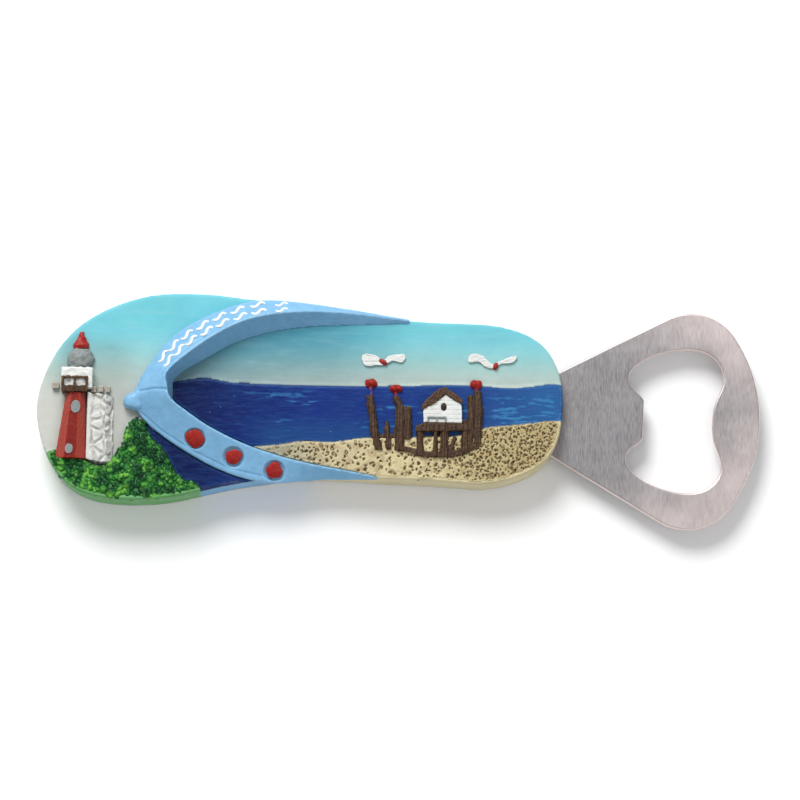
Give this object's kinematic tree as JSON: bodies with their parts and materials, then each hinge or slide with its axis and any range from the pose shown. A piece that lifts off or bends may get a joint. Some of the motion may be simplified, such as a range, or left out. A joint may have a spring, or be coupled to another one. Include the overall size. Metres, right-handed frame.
{
  "type": "souvenir bottle opener",
  "caption": "Cast flip-flop sandal with a painted beach and lighthouse relief, holding a stamped steel blade that lifts crown caps; flat back, whose two magnets are a guess.",
  "frame": {"origin": "middle of the flat back face of the sandal's sole, under the middle of its length and width", "axes": "+X along the sandal towards the opener blade, +Y towards the sky side of the painted scene, +Z out of the painted face"},
  "size_m": [0.1355, 0.0426, 0.0133],
  "materials": {
    "sky_paint": "satin hand paint over cast resin",
    "steel": "fine brushed, tumbled edges",
    "magnet": "matt pressed ferrite",
    "strap_blue": "satin hand paint over cast resin",
    "white_paint": "satin hand paint over cast resin",
    "red_paint": "satin hand paint over cast resin",
    "sea_paint": "glossy hand paint over cast resin",
    "sand_paint": "matt paint with a dark wash in the pits",
    "grass_paint": "matt paint, dry brushed in light green",
    "grey_paint": "satin hand paint over cast resin",
    "stone_paint": "off white with a grey wash in the joints",
    "wood_paint": "dark brown with pale dry brushed edges"
  },
  "bodies": {
    "root": {"sole": "sky_paint", "opener_blade": "steel", "magnet_discs": "magnet", "strap_upper_arm": "strap_blue", "strap_lower_arm": "strap_blue", "strap_saddle": "strap_blue", "toe_post": "strap_blue", "strap_wave_marks": "white_paint", "strap_dots": "red_paint", "sea_panel": "sea_paint", "inlet_panel": "sea_paint", "beach_panel": "sand_paint", "dune_panel": "grass_paint", "lighthouse_tower": "red_paint", "tower_window": "grey_paint", "tower_door": "grey_paint", "lantern_room": "white_paint", "gallery_railing": "wood_paint", "lighthouse_dome": "grey_paint", "lighthouse_finial": "red_paint", "keepers_annex": "stone_paint", "annex_battlements": "stone_paint", "gull_left": "white_paint", "gull_right": "white_paint", "gull_bodies": "red_paint", "hut_walls": "white_paint", "hut_roof": "wood_paint", "hut_window": "wood_paint", "hut_railing": "wood_paint", "hut_deck": "wood_paint", "hut_stilts": "wood_paint", "pile_left": "wood_paint", "pile_middle": "wood_paint", "pile_right": "wood_paint", "pile_caps": "red_paint"}
  },
  "joints": []
}
